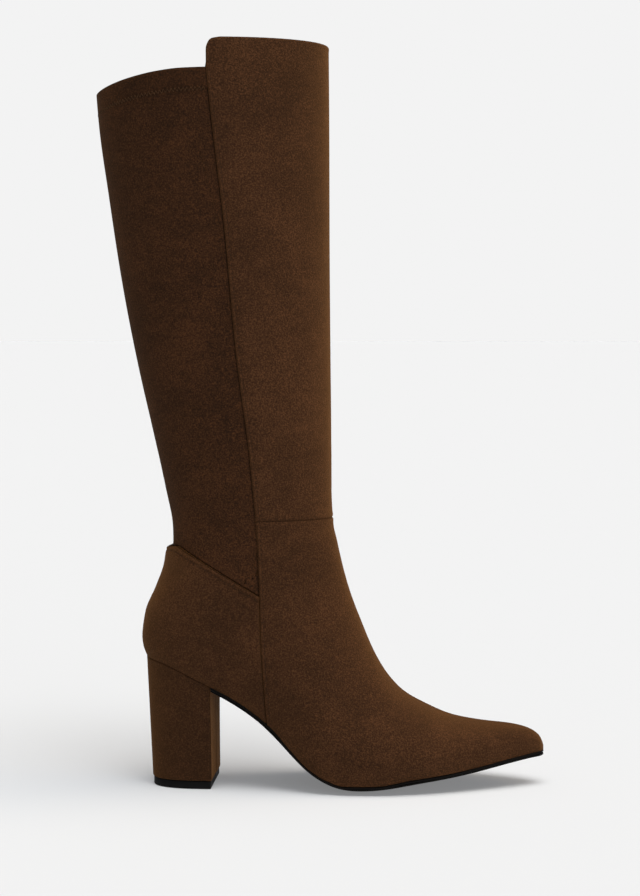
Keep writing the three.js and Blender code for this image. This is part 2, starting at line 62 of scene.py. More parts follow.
# along is a share of FOOT_LENGTH from the heel, lateral and medial are shares of half BALL_WIDTH, edge and
# tread, the heights of the feather edge and of the sole's underside, are shares of HEEL_HEIGHT
SOLE_COLUMNS = ("along", "lateral", "medial", "edge", "tread")
SOLE_ROWS = (
    (0.01, 0.675, 0.675, 1.0, 0.97),
    (0.061, 0.675, 0.675, 0.967, 0.936),
    (0.116, 0.675, 0.675, 0.897, 0.866),
    (0.18, 0.675, 0.675, 0.8, 0.769),
    (0.235, 0.68, 0.641, 0.711, 0.68),
    (0.284, 0.694, 0.627, 0.61, 0.576),
    (0.333, 0.728, 0.648, 0.485, 0.446),
    (0.379, 0.781, 0.699, 0.326, 0.28),
    (0.426, 0.834, 0.771, 0.183, 0.127),
    (0.468, 0.882, 0.834, 0.109, 0.041),
    (0.511, 0.906, 0.877, 0.069, 0),
    (0.587, 0.913, 0.928, 0.072, 0),
    (0.672, 0.841, 0.923, 0.114, 0.049),
    (0.761, 0.68, 0.858, 0.147, 0.086),
    (0.846, 0.463, 0.723, 0.19, 0.137),
    (0.918, 0.246, 0.549, 0.232, 0.187),
    (0.969, 0.072, 0.371, 0.256, 0.219),
    (0.992, -0.036, 0.258, 0.264, 0.232),
    (1.0, -0.145, 0.145, 0.267, 0.236),
)


def named_columns(columns, rows):
    return dict(zip(columns, np.array(rows, float).T))


def smooth(xs, ys, x):
    """y at x on a curve through the points that doesn't overshoot them."""
    xs, ys = np.asarray(xs, float), np.asarray(ys, float)
    slopes = np.diff(ys) / np.diff(xs)
    product = slopes[:-1] * slopes[1:]
    total = slopes[:-1] + slopes[1:]
    inner = np.where(product > 0, 2 * product / np.where(total == 0, 1, total), 0)
    tangents = np.concatenate([slopes[:1], inner, slopes[-1:]])
    i = np.clip(np.searchsorted(xs, x) - 1, 0, len(xs) - 2)
    span = xs[i + 1] - xs[i]
    t = np.clip((x - xs[i]) / span, 0, 1)
    rise = ys[i] * (1 + 2 * t) * (1 - t) ** 2 + ys[i + 1] * t * t * (3 - 2 * t)
    return rise + span * (tangents[i] * t * (1 - t) ** 2 + tangents[i + 1] * t * t * (t - 1))


sole = named_columns(SOLE_COLUMNS, SOLE_ROWS)
sole_x = HEEL_BULGE_X + sole["along"] * FOOT_LENGTH
sole["lateral"] *= BALL_WIDTH / 2
sole["medial"] *= BALL_WIDTH / 2
sole["edge"] *= HEEL_HEIGHT
sole["tread"] *= HEEL_HEIGHT


def sole_at(key, x):
    return smooth(sole_x, sole[key], x)


def sole_outline(x):
    """How far the sole reaches to the lateral and to the medial side at x; a D behind the breast."""
    share = np.clip((BREAST_X - x) / (BREAST_X - sole_x[0]), 0, 1)
    round_back = (1 - share**SEAT_ROUNDNESS) ** (1 / SEAT_ROUNDNESS)
    return sole_at("lateral", x) * round_back, sole_at("medial", x) * round_back


def seat_height(x, y):
    """Height of the surface that the upper stands on, level in the middle and rising to the edge."""
    lateral, medial = sole_outline(x)
    middle, half = (medial - lateral) / 2, np.maximum((medial + lateral) / 2, 0.01)
    rise = np.clip((np.abs(y - middle) / half - TREAD_FLAT) / (1 - TREAD_FLAT), 0, 1)
    low = sole_at("tread", x) + OUTSOLE + GAP
    return low + (sole_at("edge", x) - low) * rise**2


def put_in_scene(name, data):
    made = bpy.data.objects.new(name, data)
    bpy.context.scene.collection.objects.link(made)
    return made


def make_mesh(name, points, faces, material, slot, replaces=(), **attributes):
    """A smooth-shaded object from points in millimetres, with one number at each point per attribute."""
    mesh = bpy.data.meshes.new(name)
    mesh.from_pydata((points.reshape(-1, 3) / 1000).tolist(), [], [tuple(f) for f in faces])
    mesh.validate()
    mesh.polygons.foreach_set("use_smooth", [True] * len(mesh.polygons))
    for key, values in attributes.items():
        mesh.attributes.new(key, "FLOAT", "POINT").data.foreach_set("value", np.asarray(values, np.float32))
    joined = bmesh.new()
    joined.from_mesh(mesh)
    bmesh.ops.remove_doubles(joined, verts=joined.verts, dist=1e-6)
    joined.to_mesh(mesh)
    joined.free()
    mesh.materials.append(material)
    made = put_in_scene(name, mesh)
    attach(made, "root")
    if replaces:
        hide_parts(*replaces)
    return made


def grid_faces(rows, columns, turned=False, closed=False):
    """The quads of a grid of points, row after row; closed joins the last column to the first."""
    r, c = np.meshgrid(np.arange(rows - 1), np.arange(columns if closed else columns - 1), indexing="ij")
    a, b = r * columns + c, r * columns + (c + 1) % columns
    quads = np.stack([a, b, b + columns, a + columns], -1).reshape(-1, 4)
    return quads[:, ::-1] if turned else quads


def linear(hex_colour):
    """An sRGB hex colour as the linear RGBA that a socket takes."""
    channels = [int(hex_colour[i : i + 2], 16) / 255 for i in (1, 3, 5)]
    return (*[c / 12.92 if c <= 0.04045 else ((c + 0.055) / 1.055) ** 2.4 for c in channels], 1)


def add_node(tree, kind, settings=None, **inputs):
    """Adds a node with its settings; each input is a value, or a socket that is linked to it."""
    node = tree.nodes.new("ShaderNode" + kind)
    for key, value in (settings or {}).items():
        setattr(node, key, value)
    for key, value in inputs.items():
        number = key[1:].isdigit() and key[0] == "i"
        socket = node.inputs[int(key[1:]) if number else key.replace("_", " ")]
        if isinstance(value, bpy.types.NodeSocket):
            tree.links.new(value, socket)
        else:
            socket.default_value = value
    return node


def new_material(name):
    made = bpy.data.materials.new(name)
    made.use_nodes = True
    made.node_tree.nodes.clear()
    return made, made.node_tree


def per_mm(size):
    """The scale of a texture, in one over metres, whose grain is that many millimetres."""
    return 1000 / size


def noise(tree, place, size, detail, **more):
    """Uneven grey with a grain of that many millimetres."""
    node = add_node(tree, "TexNoise", Vector=place, Scale=per_mm(size), Detail=detail, **more)
    return node.outputs[0]


def math_node(tree, operation, *values):
    inputs = {f"i{i}": value for i, value in enumerate(values)}
    return add_node(tree, "Math", {"operation": operation}, **inputs).outputs[0]


def summed(tree, value, share, rest):
    """A share of one value added to the rest."""
    return math_node(tree, "MULTIPLY_ADD", value, share, rest)


def between(tree, value, low, high, low_result, high_result, blend="LINEAR"):
    """Turns a value between low and high into one between the two results."""
    limits = {"From_Min": low, "From_Max": high, "To_Min": low_result, "To_Max": high_result}
    settings = {"interpolation_type": blend}
    return add_node(tree, "MapRange", settings, Value=value, **limits).outputs[0]


def dented(tree, height, strength, depth):
    """Normals for a relief that is that many metres deep."""
    return add_node(tree, "Bump", Strength=strength, Distance=depth, Height=height).outputs[0]


def surface(tree, colour, relief, roughness, specular, **more):
    more.update(Base_Color=colour, Normal=relief, Roughness=roughness, Specular_IOR_Level=specular)
    shader = add_node(tree, "BsdfPrincipled", **more)
    add_node(tree, "OutputMaterial", Surface=shader.outputs[0])


def ramp(tree, factor, stops):
    node = add_node(tree, "ValToRGB", i0=factor)
    elements = node.color_ramp.elements
    while len(elements) < len(stops):
        elements.new(0.5)
    for element, (place, colour) in zip(elements, stops):
        element.position = place
        element.color = linear(colour)
    return node.outputs["Color"]


def make_knit(name, dark, light, rib):
    """Brushed warp knit, matt, with fine wales: the eye sees faint upright ribs and a soft bloom."""
    made, tree = new_material(name)
    place = add_node(tree, "TexCoord").outputs["Object"]
    cloud = noise(tree, place, 9, 3.0)
    fuzz = noise(tree, place, 0.7, 2.0)
    shade = summed(tree, cloud, 0.5, summed(tree, fuzz, 0.5, 0.0))
    bands = {"bands_direction": "DIAGONAL"}
    wales = add_node(tree, "TexWave", bands, Vector=place, Scale=per_mm(rib) / 20, Distortion=0.4)
    colour = ramp(tree, shade, ((0.3, dark), (0.7, light)))
    relief = dented(tree, summed(tree, wales.outputs[0], 0.6, fuzz), 0.5, 0.0003)
    surface(tree, colour, relief, roughness=0.95, specular=0.2, Sheen_Weight=0.08, Sheen_Roughness=0.5)
    return made


sock_cloth = make_knit("brushed_sock_fabric", "#17110c", "#2a2018", 1.6)

SOCK_X = np.linspace(TOE_TIP_X - 2 * WALL, sole_x[0] + WALL, 160)
SOCK_ACROSS = np.linspace(-1, 1, 41)
SOCK = 2.0


def slab(xs, outline_x, spread, top, bottom, across, roll):
    """A slab that follows the seat. top and bottom are heights above it, and roll rounds its edge."""
    lateral, medial = sole_outline(outline_x)
    wide = (medial + lateral) / 2 + spread > 0.3
    xs, lateral, medial = xs[wide], lateral[wide], medial[wide]
    middle = ((medial - lateral) / 2)[:, None]
    half = (medial + lateral)[:, None] / 2 + spread
    share = np.sin(across * math.pi / 2)[None, :]
    edge = np.minimum(half * (1 - np.abs(share)) / roll, 1)
    drop = (1 - np.sqrt(1 - (1 - edge) ** 2)) * (top - bottom) / 2
    y = middle + share * half
    x = np.broadcast_to(xs[:, None], y.shape)
    seat = seat_height(x, y)
    upper_face = np.stack([x, y, seat + top - drop], -1).reshape(-1, 3)
    lower_face = np.stack([x, y, seat + bottom + drop], -1).reshape(-1, 3)
    rows, columns = y.shape
    faces = [*grid_faces(rows, columns), *(grid_faces(rows, columns, turned=True) + rows * columns)]
    return np.vstack([upper_face, lower_face]), faces


sock_outline_x = np.interp(SOCK_X, SOCK_X[::-1][[0, -1]], (sole_x[0], TOE_TIP_X))
sock_points, sock_faces = slab(SOCK_X, sock_outline_x, -WALL, SOCK, 0.2, SOCK_ACROSS, 0.8)
make_mesh("sock", sock_points, sock_faces, sock_cloth, "sock", ["insole"])


# Leg and foot lining
# The inside of the upper: a brushed knit lining, bonded to the outer and turned over at the collar. It has
# the form of the last and of the leg, which every outer panel below follows too.

INSTEP_HEIGHT = 157
BOOT_HEIGHT = 430
CALF_DEPTH = 138
CALF_WIDTH = 104
COLLAR_FRONT_X = 4.5
LEG_ROUND = 2.1

# Sections of the foot from toe to heel: seat and ridge, the x of their two ends, are shares of FOOT_LENGTH,
# height is a share of INSTEP_HEIGHT, lateral and medial are shares of half BALL_WIDTH
FOOT_COLUMNS = ("seat", "ridge", "height", "lateral", "medial", "widest", "round")
FOOT_ROWS = (
    (1.0, 1.0, 0.144, -0.145, 0.145, 0.5, 2),
    (0.992, 0.993, 0.173, -0.025, 0.275, 0.5, 2.1),
    (0.969, 0.969, 0.203, 0.09, 0.39, 0.47, 2.2),
    (0.918, 0.921, 0.221, 0.28, 0.58, 0.44, 2.3),
    (0.846, 0.852, 0.23, 0.51, 0.77, 0.4, 2.3),
    (0.761, 0.776, 0.251, 0.745, 0.91, 0.36, 2.2),
    (0.672, 0.705, 0.298, 0.915, 0.995, 0.33, 2.1),
    (0.587, 0.65, 0.349, 0.995, 1.005, 0.32, 2),
    (0.511, 0.612, 0.412, 1.0, 0.965, 0.32, 1.95),
    (0.426, 0.579, 0.495, 0.96, 0.91, 0.33, 1.9),
    (0.333, 0.547, 0.608, 0.9, 0.855, 0.36, 1.9),
    (0.235, 0.516, 0.73, 0.848, 0.822, 0.4, 1.95),
    (0.142, 0.496, 0.84, 0.82, 0.81, 0.43, 2),
    (0.07, 0.485, 0.915, 0.82, 0.815, 0.45, 2.05),
    (0.027, 0.478, 0.957, 0.824, 0.82, 0.47, 2.1),
    (0.0145, 0.476, 0.978, 0.828, 0.826, 0.49, 2.1),
)
# Rings of the leg: back and front are shares of CALF_DEPTH behind the collar's front, the heights are
# shares of BOOT_HEIGHT, and half is a share of half CALF_WIDTH
LEG_COLUMNS = ("back", "back_height", "front", "front_height", "half")
LEG_ROWS = (
    (0.772, HEEL_HEIGHT / BOOT_HEIGHT, -0.022, 0.365, 0.665),
    (0.789, 0.201, -0.018, 0.38, 0.672),
    (0.775, 0.235, -0.015, 0.397, 0.68),
    (0.728, 0.271, -0.014, 0.417, 0.69),
    (0.688, 0.307, -0.013, 0.44, 0.704),
    (0.667, 0.347, -0.012, 0.467, 0.727),
    (0.702, 0.409, -0.011, 0.512, 0.756),
    (0.76, 0.491, -0.009, 0.567, 0.793),
    (0.824, 0.584, -0.007, 0.637, 0.843),
    (0.885, 0.688, -0.005, 0.719, 0.893),
    (0.936, 0.798, -0.004, 0.812, 0.946),
    (0.978, 0.898, -0.003, 0.902, 0.971),
    (1.003, 1.016, 0, 1.016, 1.0),
)
HEEL_BACK_ROW = len(FOOT_ROWS)
STEPS_PER_ROW = 24
SIDE_COLUMNS = 150
BEND_WORTH = 25

foot = named_columns(FOOT_COLUMNS, FOOT_ROWS)
leg = named_columns(LEG_COLUMNS, LEG_ROWS)
one = np.ones(len(LEG_ROWS))
seat_x = HEEL_BULGE_X + foot["seat"] * FOOT_LENGTH
sections = {
    "seat_x": np.append(seat_x, COLLAR_FRONT_X - leg["back"] * CALF_DEPTH),
    "seat_z": np.append(sole_at("edge", seat_x), leg["back_height"] * BOOT_HEIGHT),
    "ridge_x": np.append(
        HEEL_BULGE_X + foot["ridge"] * FOOT_LENGTH, COLLAR_FRONT_X - leg["front"] * CALF_DEPTH
    ),
    "ridge_z": np.append(foot["height"] * INSTEP_HEIGHT, leg["front_height"] * BOOT_HEIGHT),
    "lateral": np.append(foot["lateral"] * BALL_WIDTH / 2, leg["half"] * CALF_WIDTH / 2),
    "medial": np.append(foot["medial"] * BALL_WIDTH / 2, leg["half"] * CALF_WIDTH / 2),
    "widest": np.append(foot["widest"], 0.5 * one),
    "round": np.append(foot["round"], LEG_ROUND * one),
}
LAST_ROW = HEEL_BACK_ROW + len(LEG_ROWS) - 1
row_place = np.linspace(0, LAST_ROW, LAST_ROW * STEPS_PER_ROW + 1)
side_place = np.linspace(-1, 1, 2 * SIDE_COLUMNS + 1)
fine = {key: smooth(np.arange(LAST_ROW + 1), values, row_place) for key, values in sections.items()}


def blurred(values, reach):
    """The values with the bends at the table's rows evened out; both ends stay."""
    kernel = np.exp(-np.linspace(-2, 2, 2 * reach + 1) ** 2)
    before = 2 * values[0] - values[reach:0:-1]
    after = 2 * values[-1] - values[-2 : -reach - 2 : -1]
    return np.convolve(np.concatenate([before, values, after]), kernel / kernel.sum(), "valid")


for key in ("ridge_x", "ridge_z", "lateral", "medial", "widest", "round"):
    fine[key] = blurred(fine[key], STEPS_PER_ROW // 2)
is_open = row_place < HEEL_BACK_ROW
outline_lateral, outline_medial = (np.where(is_open, side, 0) for side in sole_outline(fine["seat_x"]))
fine["seat_z"] = np.where(is_open, sole_at("edge", fine["seat_x"]), fine["seat_z"])


def read_along(points, travel, wanted):
    """The points of a line at the wanted distances of travel."""
    return np.stack([np.interp(wanted, travel, column) for column in points.T], 1)


def units(vectors):
    return vectors / np.maximum(np.linalg.norm(vectors, axis=-1, keepdims=True), 1e-9)


def half_section(row, side):
    """Points of one section from the sole's edge, or the back line, up one side to the top line."""
    middle = (fine["medial"][row] - fine["lateral"][row]) / 2
    half = (fine["medial"][row] + fine["lateral"][row]) / 2
    reach = outline_medial[row] - middle if side > 0 else outline_lateral[row] + middle
    share = min(max(reach / half, 0), 0.999) if half > 0.1 else 0
    power = 2 / fine["round"][row]
    start = math.acos(share ** (1 / power))
    quarter = np.linspace(0, 1, 97)
    low, high = start * (1 - quarter[:-1]), quarter * math.pi / 2
    widest = fine["widest"][row]
    low_up = widest * (1 - np.sin(low) ** power / max(math.sin(start) ** power, 1e-6))
    up = np.append(low_up, widest + (1 - widest) * np.sin(high) ** power)
    out = half * np.maximum(np.cos(np.append(low, high)), 0) ** power
    x = fine["seat_x"][row] + up * (fine["ridge_x"][row] - fine["seat_x"][row])
    z = fine["seat_z"][row] + up * (fine["ridge_z"][row] - fine["seat_z"][row])
    points = np.stack([x, middle + side * out, z], 1)
    steps = np.diff(points, axis=0)
    lengths = np.linalg.norm(steps, axis=1)
    headings = units(steps)
    turns = np.arccos(np.clip((headings[1:] * headings[:-1]).sum(1), -1, 1))
    bend = turns if half > 0.1 else 0 * turns
    travel = np.append(0, np.cumsum(lengths + BEND_WORTH * np.append(0, bend)))
    wanted = np.linspace(0, travel[-1], SIDE_COLUMNS + 1)
    return read_along(points, travel, wanted)


form = np.array(
    [np.vstack([half_section(row, -1), half_section(row, 1)[-2::-1]]) for row in range(len(row_place))]
)
# the empty leg leans forward by a little, from the ankle up
LEAN = 0.45
form[..., 0] += LEAN * np.clip((form[..., 2] - 150) / 40, 0, 1)


def form_normals():
    """Outward unit normals of the form; the back line is joined, and the toe tip faces straight ahead."""
    along_rows = np.gradient(form, axis=0)
    across = np.gradient(form, axis=1)
    joined = form[~is_open, 1] - form[~is_open, -2]
    across[~is_open, 0] = across[~is_open, -1] = joined
    found = units(np.cross(across, along_rows))
    if (found[-1, SIDE_COLUMNS] @ (form[-1, SIDE_COLUMNS] - form[-1].mean(0))) < 0:
        found = -found
    found[0] = (1, 0, 0)
    return found


normals = form_normals()


def on_form(place):
    """Points and normals of the form at places, each a row place and a side place."""
    r = np.clip(place[..., 0], 0, LAST_ROW) * STEPS_PER_ROW
    c = (np.clip(place[..., 1], -1, 1) + 1) * SIDE_COLUMNS
    r0, c0 = np.minimum(r.astype(int), len(row_place) - 2), np.minimum(c.astype(int), 2 * SIDE_COLUMNS - 1)
    a, b = (r - r0)[..., None], (c - c0)[..., None]

    def read(grid):
        low = grid[r0, c0] * (1 - b) + grid[r0, c0 + 1] * b
        high = grid[r0 + 1, c0] * (1 - b) + grid[r0 + 1, c0 + 1] * b
        return low * (1 - a) + high * a

    return read(form), units(read(normals))


# Soft troughs and ridges, from use and from standing empty: a line from one point to another as seen from
# the side, its width, how far it stands out (or in, below 0), and the side it is on: -1 lateral, 1 medial
CREASE_ROWS = (
    (-4, 178, -32, 166, 7, -0.55, -1),
    (-2, 150, -26, 146, 6, 0.35, -1),
    (-84, 160, -50, 150, 8, -0.5, -1),
    (-84, 186, -48, 178, 9, 0.4, -1),
    (-88, 214, -52, 222, 12, -0.45, -1),
    (18, 62, 44, 30, 10, -0.45, -1),
    (48, 44, 66, 24, 9, 0.3, -1),
    (-12, 96, 14, 66, 10, 0.35, -1),
    (-16, 240, -10, 330, 16, -0.5, -1),
    (-34, 250, -44, 360, 13, 0.4, -1),
    (-98, 300, -90, 370, 15, -0.5, -1),
    (-74, 270, -80, 380, 13, 0.4, -1),
    (-4, 176, -30, 170, 7, -0.5, 1),
    (-84, 164, -50, 152, 8, -0.5, 1),
    (-86, 200, -50, 196, 10, 0.4, 1),
    (20, 60, 46, 28, 10, -0.4, 1),
    (-18, 250, -12, 340, 16, -0.5, 1),
    (-76, 280, -84, 380, 14, 0.45, 1),
)


def to_segment(x, z, from_x, from_z, to_x, to_z):
    """Distance in the side view from a line between two points."""
    dx, dz = to_x - from_x, to_z - from_z
    t = np.clip(((x - from_x) * dx + (z - from_z) * dz) / (dx * dx + dz * dz), 0, 1)
    return np.hypot(x - from_x - t * dx, z - from_z - t * dz)


def creases(points):
    x, y, z = points[..., 0], points[..., 1], points[..., 2]
    total = np.zeros(x.shape)
    for row in CREASE_ROWS:
        width, height, side = row[4:]
        far = to_segment(x, z, *row[:4])
        facing = np.clip(side * y / 12, 0, 1)
        total += height * facing * np.exp(-((far / width) ** 2))
    return total


def last_rise(values):
    """Where values last rise through zero: the number of the one before, and the share of the step."""
    i = np.nonzero((values[:-1] < 0) & (values[1:] >= 0))[0][-1]
    return i, values[i] / (values[i] - values[i + 1])


def where_along_rows(field, columns):
    """For each column, the row place at which a field over the form last rises through zero."""
    return np.array([sum(last_rise(field[:, c])) for c in columns]) / STEPS_PER_ROW


# x and z along the side seam from below, along the collar's back edge, and round the front panel's corner
SIDE_SEAM = (
    (-28.5, 30), (-32.1, 87), (-33.8, 140), (-37.7, 191),
    (-45.1, 252), (-51.3, 325), (-58.0, 384), (-61.0, 413),
)
COLLAR_BACK = (
    (-145, 396.5), (-133, 401.2), (-120, 405.4), (-106, 408.8),
    (-90, 411.6), (-76, 413.0), (-61.0, 413.4),
)
FRONT_CORNER = ((-61.6, 413.4), (-61.0, 423), (-60.2, 427), (-57.6, 429.2), (-53, 430))


def curve_through(points):
    """A function that gives the height at x on a smooth curve through the points."""
    xs, zs = np.array(points).T

    def height_at(x):
        return smooth(xs, zs, x)

    return height_at


side_seam_x = curve_through([(z, x) for x, z in SIDE_SEAM])
hem_z = curve_through(COLLAR_BACK)
front_top = curve_through(FRONT_CORNER)


def collar_z(x):
    """The collar's height: low round the back, and high in front of the side seams."""
    return np.where(x < SIDE_SEAM[-1][0], hem_z(x), front_top(x))


LINING_INSIDE = 2.6
lining_cloth = make_knit("brushed_knit_lining", "#20150d", "#3b2a1c", 1.2)

lining_columns = np.arange(0, 2 * SIDE_COLUMNS + 1, 2)
collar_field = form[..., 2] - collar_z(form[..., 0]) + 0.8
lining_top = where_along_rows(collar_field, lining_columns)
lining_share = np.linspace(0, 1, 320)[:, None]
lining_place = np.stack(
    [lining_share * lining_top, np.ones_like(lining_share) * side_place[lining_columns]], -1
)
lining_points, lining_normals = on_form(lining_place)
lining_points = lining_points + lining_normals * (creases(lining_points) - LINING_INSIDE)[..., None]
lining_faces = grid_faces(*lining_points.shape[:2], turned=True)
make_mesh("lining", lining_points, lining_faces, lining_cloth, "lining", ["upper"])


# Back leg
# The back of the leg is stretch microsuede, so that the boot pulls on. It runs from the slanted seam above
# the heel up to the hem, and from one side seam round the back to the other.

NAP_GRAIN = 0.85
COUNTER_LINE = ((-120.0, 136), (-88.0, 140.3), (-83.5, 141.3), (-77.5, 139), (-33.1, 113.5), (-20, 106))


def make_suede(name, shades, brushed, sheen):
    """Microsuede, a microfibre cloth with a sanded face: matt, with a short nap that shows as a fine
    speckle, brushed patches that are lighter or darker, and a soft bloom where the face turns away. The nap
    is 0.1 mm in fact and drawn at NAP_GRAIN, so that it shows. Painted shade darkens it into each seam, by
    seam_mm, and darkens some whole pieces, the heel most, by a factor given at each point."""
    made, tree = new_material(name)
    place = add_node(tree, "TexCoord").outputs["Object"]
    nap = noise(tree, place, NAP_GRAIN, 3.0, Roughness=0.7)
    patches = noise(tree, place, 46, 4.0, Roughness=0.62, Distortion=0.6)
    streaks = add_node(tree, "Mapping", Vector=place, Scale=(1, 1, 2.4)).outputs[0]
    hand = noise(tree, streaks, 13, 3.0, Roughness=0.6)
    brushing = summed(tree, hand, 0.25, summed(tree, patches, brushed, 0.5 - brushed / 2))
    level = math_node(tree, "SUBTRACT", summed(tree, nap, 1.8, brushing), 1.025)
    # painted shade: the cloth darkens towards each seam, into the ditch where shade falls
    near_seam = add_node(tree, "Attribute", {"attribute_name": "seam_mm"})
    seam = between(tree, near_seam.outputs["Fac"], 0.0, 1.1, 0.6, 1.0, "SMOOTHSTEP")
    # painted shade: a factor at each point that darkens whole pieces, the heel and the counter most
    painted_shade_factor = add_node(tree, "Attribute", {"attribute_name": "painted_shade"}).outputs["Fac"]
    shade = math_node(tree, "MULTIPLY", seam, painted_shade_factor)
    colour = add_node(
        tree,
        "Mix",
        {"data_type": "RGBA", "blend_type": "MULTIPLY"},
        i0=1.0,
        i6=ramp(tree, level, tuple(zip((0.2, 0.5, 0.8), shades))),
        i7=shade,
    )
    relief = dented(tree, summed(tree, hand, 1.2, nap), 0.6, 0.00035)
    bloom = {"Sheen_Weight": sheen, "Sheen_Roughness": 0.6, "Sheen_Tint": linear("#cf8f4c")}
    surface(tree, colour.outputs[2], relief, roughness=0.92, specular=0.08, **bloom)
    return made


suede = make_suede("brown_microsuede", ("#1d110a", "#301d11", "#4b301e"), 0.5, 0.24)
# its shades are a little darker than the suede's: partly the stretch cloth's own tone, partly painted shade
# for the back of the leg, which faces away from the lights
stretch_suede = make_suede("brown_stretch_microsuede", ("#1a0f08", "#2c1a0e", "#452a18"), 0.5, 0.08)


def cross_on(side, field, rows):
    """For each row, the side place on that side where a field rises through zero towards the top line."""
    lines = field[rows, : SIDE_COLUMNS + 1] if side < 0 else field[rows, : SIDE_COLUMNS - 1 : -1]
    return -side * np.array([sum(last_rise(line)) / SIDE_COLUMNS - 1 for line in lines])


def seam_curve(side, ahead=0.0):
    """The side seam, or a line that far ahead of it, as places from the sole's edge to the leg's top."""
    field = form[..., 0] - side_seam_x(form[..., 2]) - ahead
    edge = 0 if side < 0 else -1
    first = np.nonzero(field[:, edge] < 0)[0][0]
    crossing = first - 1 + field[first - 1, edge] / (field[first - 1, edge] - field[first, edge])
    rows = np.arange(first, len(row_place))
    start = [[crossing / STEPS_PER_ROW, side]]
    return np.vstack([start, np.stack([row_place[rows], cross_on(side, field, rows)], 1)])


def level_curve(height_at, low, high):
    """The line on the form with the height that height_at gives, between two side places."""
    inside = np.nonzero((side_place > low) & (side_place < high))[0]
    field = form[..., 2] - height_at(form[..., 0])
    rows = where_along_rows(field, inside)
    return np.stack([rows, side_place[inside]], 1)


def cut_at(curve, height_at):
    """Splits a curve where it rises through that height, and returns its lower and its upper part."""
    points = on_form(curve)[0]
    i, t = last_rise(points[:, 2] - height_at(points[:, 0]))
    split = curve[i] + t * (curve[i + 1] - curve[i])
    return np.vstack([curve[: i + 1], split]), np.vstack([split, curve[i + 1 :]])


def level(z):
    """A height that is the same everywhere, in the form that the functions for lines take."""

    def height_at(x):
        return np.full(np.shape(x), float(z))

    return height_at


def at_back(side, height_at):
    """The place where the back line rises through a height."""
    edge = form[:, 0 if side < 0 else -1]
    i, t = last_rise(edge[:, 2] - height_at(edge[:, 0]))
    return np.array([[row_place[i] + t / STEPS_PER_ROW, side]])


def slanted_line(side, height_at, start):
    """The line with that height from a place on the side seam to the back line, row by row."""
    end = at_back(side, height_at)
    rows = np.nonzero((row_place > start[0]) & (row_place < end[0, 0]))[0]
    field = form[..., 2] - height_at(form[..., 0])
    return np.vstack([start, np.stack([row_place[rows], cross_on(side, field, rows)], 1), end])


def round_back_line(side, height_at, start):
    """The line with that height from a place on the side seam round to the back line."""
    line = level_curve(height_at, *((-1, start[1]) if side < 0 else (start[1], 1)))
    return np.vstack([start, line[::-1] if side < 0 else line, at_back(side, height_at)])


def rear_share(points, start, reach):
    """0 in front of an x, and rising to 1 over a reach behind it."""
    return np.clip((start - points[..., 0]) / reach, 0, 1)


def travel_of(points):
    return np.append(0, np.cumsum(np.linalg.norm(np.diff(points, axis=0), axis=1)))


def along(curve, shares):
    """Places at shares of a curve's real length."""
    travel = travel_of(on_form(curve)[0])
    return read_along(curve, travel, shares * travel[-1])


EDGE_STEPS = np.array([0, 0.2, 0.45, 0.75, 1.1, 1.5, 2.0, 2.6, 3.3, 4.2])


def spacing(length, step, fine_end=True):
    """Shares along a length, closer together near an edge that is turned or stitched."""
    first, end = EDGE_STEPS[-1], length - (EDGE_STEPS[::-1] if fine_end else np.zeros(1))
    middle = np.linspace(first, end[0], max(int((end[0] - first) / step), 1) + 1)[1:-1]
    return np.concatenate([EDGE_STEPS, middle, end]) / length


def patch(bottom, top, left, right, across, up):
    """Places over a four-sided piece of cloth, between its four edges."""
    b, t, l, r = along(bottom, across), along(top, across), along(left, up), along(right, up)
    s, w = across[None, :, None], up[:, None, None]
    corners = (1 - s) * (1 - w) * b[0] + s * (1 - w) * b[-1] + (1 - s) * w * t[0] + s * w * t[-1]
    return (1 - w) * b + w * t + (1 - s) * l[:, None] + s * r[:, None] - corners


def distance_from(points, *curves):
    """Distance of each point from the nearest of some seams."""
    line = np.vstack([on_form(along(curve, np.linspace(0, 1, 1500)))[0] for curve in curves])
    tree = KDTree(len(line))
    for i, point in enumerate(line):
        tree.insert(point, i)
    tree.balance()
    flat = points.reshape(-1, 3)
    return np.array([tree.find(point)[2] for point in flat]).reshape(points.shape[:-1])


def turned(distance, radius):
    """1 on the cloth, and falling to 0 on a quarter round where its edge is turned under."""
    share = np.clip(distance / radius, 0, 1)
    return np.sqrt(1 - (1 - share) ** 2)


def bump_at(distance, centre, width):
    return np.exp(-(((distance - centre) / width) ** 2))


TURNED_IN = 2.2


